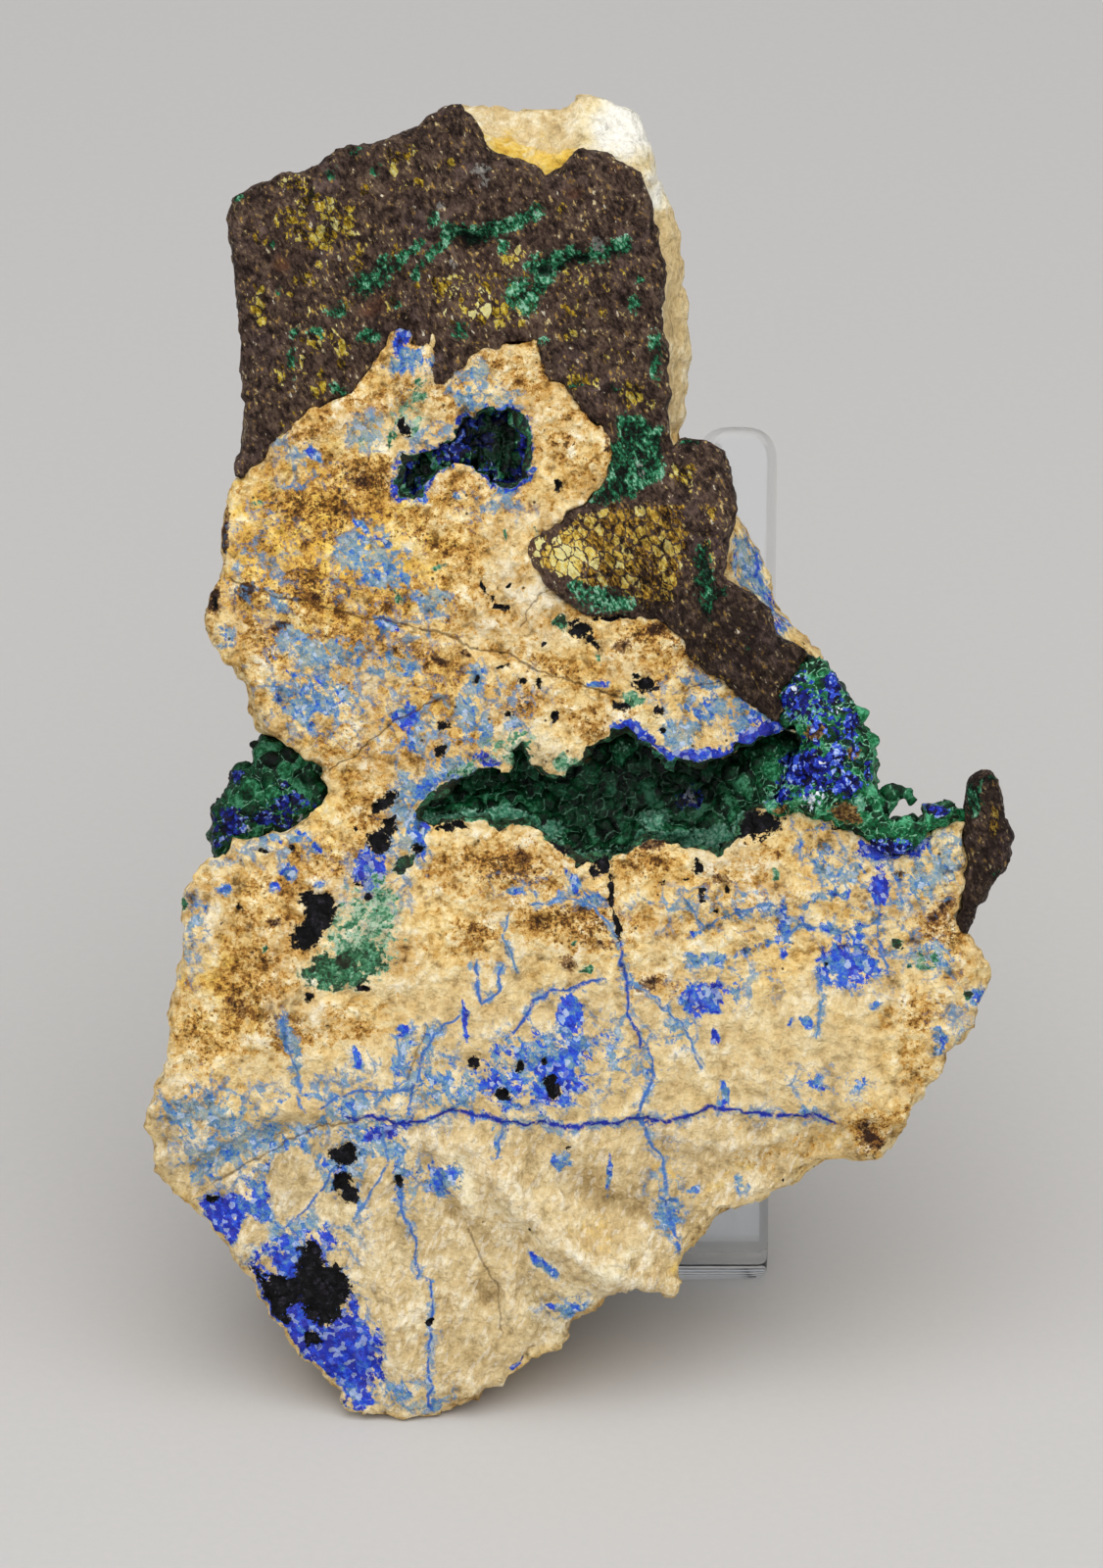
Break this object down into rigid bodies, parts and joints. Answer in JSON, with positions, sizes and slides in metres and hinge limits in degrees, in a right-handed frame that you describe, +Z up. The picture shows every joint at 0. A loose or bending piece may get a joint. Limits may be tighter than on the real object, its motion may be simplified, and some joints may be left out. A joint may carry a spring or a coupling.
{
  "type": "malachite azurite specimen",
  "caption": "Hand-sized mineral slab of cream host rock with malachite, azurite and dark iron oxide growths, leaning back on a clear bent-sheet easel.",
  "frame": {"origin": "on the table, under the middle of the part's box", "axes": "+Z up, +X to the viewer's right, the slab's face looks towards -Y and up"},
  "size_m": [0.0952, 0.092, 0.1289],
  "materials": {
    "host_rock": "matte",
    "goethite": "satin",
    "malachite": "satin",
    "pit_malachite": "satin",
    "azurite_malachite_left": "satin",
    "azurite_malachite_right": "satin",
    "clear_acrylic": "polished"
  },
  "bodies": {
    "root": {"host_rock_slab": "host_rock", "goethite_crust": "goethite", "goethite_horn": "goethite", "malachite_vug_lining": "malachite", "malachite_pit_druse": "pit_malachite", "azurite_malachite_cluster_left": "azurite_malachite_left", "azurite_malachite_cluster_right": "azurite_malachite_right", "clear_easel": "clear_acrylic"}
  },
  "joints": []
}
